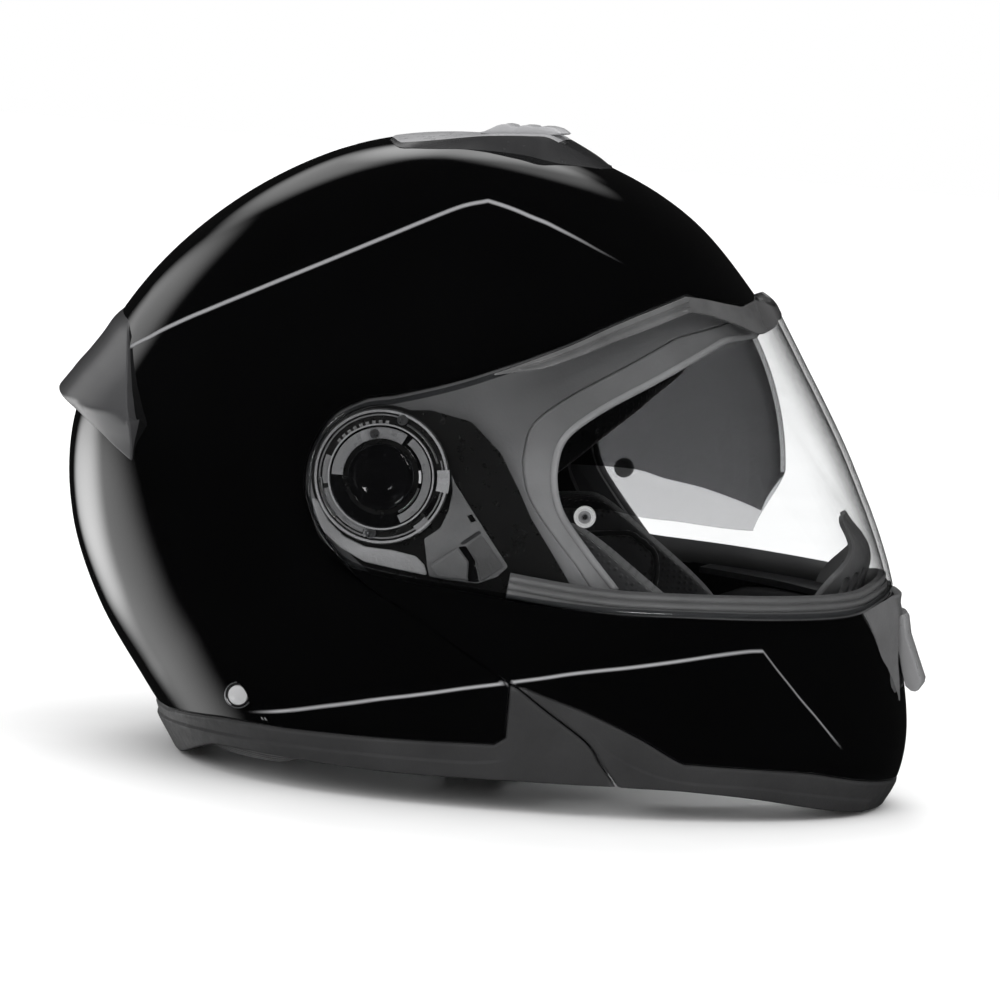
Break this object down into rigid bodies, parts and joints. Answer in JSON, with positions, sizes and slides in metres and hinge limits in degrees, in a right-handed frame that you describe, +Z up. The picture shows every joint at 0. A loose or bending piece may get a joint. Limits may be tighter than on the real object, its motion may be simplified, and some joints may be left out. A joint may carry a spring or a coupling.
{
  "type": "motorcycle helmet",
  "caption": "Modular motorcycle helmet with a flip-up chin bar, clear face shield, drop-down sun visor, vents, lining and strap.",
  "frame": {"origin": "centre of the footprint on the resting plane under the lower rim", "axes": "+X to the helmet's front, +Y to the wearer's left, +Z up, lower rim resting on Z = 0"},
  "size_m": [0.3495, 0.2616, 0.2539],
  "materials": {
    "shell_gloss": "deep gloss black lacquer",
    "dark_gloss": "dark grey gloss",
    "frame_matte": "matte dark grey",
    "trim_matte": "matte black edge rubber",
    "gasket_rubber": "grey double-bead gasket rubber",
    "foam": "expanded polystyrene, dark, stated mass is for the whole helmet",
    "liner_fabric": "brushed and mesh lining fabric",
    "webbing": "woven webbing",
    "steel": "zinc plated steel",
    "chrome": "bright rivet",
    "grey_plastic": "mid grey moulded plastic",
    "light_grey": "light grey satin plastic",
    "black_plastic": "black moulded plastic",
    "red_plastic": "red moulded plastic",
    "clear": "clear polycarbonate",
    "smoke": "smoked polycarbonate"
  },
  "bodies": {
    "helmet_shell": {"shell": "shell_gloss", "eyeport_frame": "frame_matte", "eps_liner": "foam", "crown_liner": "liner_fabric", "cheek_pad_left": "liner_fabric", "cheek_pad_right": "liner_fabric", "neck_roll": "liner_fabric", "base_trim": "trim_matte", "rear_spoiler": "dark_gloss", "top_vent_housing": "shell_gloss", "hinge_mount_left": "steel", "hinge_mount_right": "steel", "latch_pin_left": "steel", "latch_pin_right": "steel", "strap_rivet_left": "chrome", "strap_rivet_right": "chrome", "strap_anchor_left": "steel", "strap_anchor_right": "steel", "chin_strap_left": "webbing", "chin_strap_right": "webbing", "buckle_frame": "black_plastic", "buckle_tongue": "grey_plastic", "visor_pivot_left": "black_plastic", "visor_pivot_right": "black_plastic"},
    "chin_bar": {"chin_bar": "shell_gloss", "chin_liner": "foam", "chin_trim": "trim_matte", "chin_vent_housing": "dark_gloss", "breath_deflector": "black_plastic", "chin_curtain": "liner_fabric", "lower_gasket": "gasket_rubber", "pivot_bush_left": "light_grey", "pivot_bush_right": "light_grey", "base_plate_left": "grey_plastic", "base_plate_right": "grey_plastic", "side_cover_left": "grey_plastic", "side_cover_right": "grey_plastic", "pivot_cap_left": "black_plastic", "pivot_cap_right": "black_plastic"},
    "face_shield": {"shield": "clear", "shield_ring_left": "light_grey", "shield_ring_right": "light_grey", "shield_pin_left": "light_grey", "shield_pin_right": "light_grey"},
    "sun_visor": {"sun_visor": "smoke"},
    "visor_lever": {"visor_slider": "black_plastic"},
    "top_vent": {"top_vent_slider": "grey_plastic"},
    "chin_vent": {"chin_vent_slider": "light_grey"},
    "release_button": {"release_button": "red_plastic"},
    "latch_hooks": {"latch_hook_left": "steel", "latch_hook_right": "steel"},
    "buckle_lever": {"buckle_lever": "red_plastic"}
  },
  "joints": [
    {"name": "chin_flip", "type": "hinge", "parent": "helmet_shell", "child": "chin_bar", "pos_m": [-0.032, 0, 0.122], "axis": [0, -1, 0], "range_deg": [0, 95]},
    {"name": "shield_tilt", "type": "hinge", "parent": "chin_bar", "child": "face_shield", "pos_m": [-0.032, 0, 0.122], "axis": [0, -1, 0], "range_deg": [0, 50]},
    {"name": "visor_swing", "type": "hinge", "parent": "helmet_shell", "child": "sun_visor", "pos_m": [0, 0, 0.12], "axis": [0, -1, 0], "range_deg": [0, 45]},
    {"name": "visor_lever_slide", "type": "slide", "parent": "helmet_shell", "child": "visor_lever", "axis": [1, 0, 0], "range_m": [0, 0.012]},
    {"name": "top_vent_slide", "type": "slide", "parent": "helmet_shell", "child": "top_vent", "axis": [-1, 0, 0], "range_m": [0, 0.006]},
    {"name": "chin_vent_slide", "type": "slide", "parent": "chin_bar", "child": "chin_vent", "axis": [-0.2272, 0, 0.9738], "range_m": [0, 0.005]},
    {"name": "release_slide", "type": "slide", "parent": "chin_bar", "child": "release_button", "axis": [-1, 0, 0], "range_m": [0, 0.005]},
    {"name": "latch_slide", "type": "slide", "parent": "chin_bar", "child": "latch_hooks", "axis": [0.7455, 0, -0.6666], "range_m": [0, 0.0015]},
    {"name": "buckle_lever_hinge", "type": "hinge", "parent": "helmet_shell", "child": "buckle_lever", "pos_m": [0.011, -0.024, 0.0094], "axis": [1, 0, 0], "range_deg": [0, 45]}
  ],
  "couplings": [
    {"joint": "visor_lever_slide", "follows": "visor_swing", "m_per_rad": 0.015279},
    {"joint": "latch_slide", "follows": "release_slide", "ratio": 0.3}
  ]
}
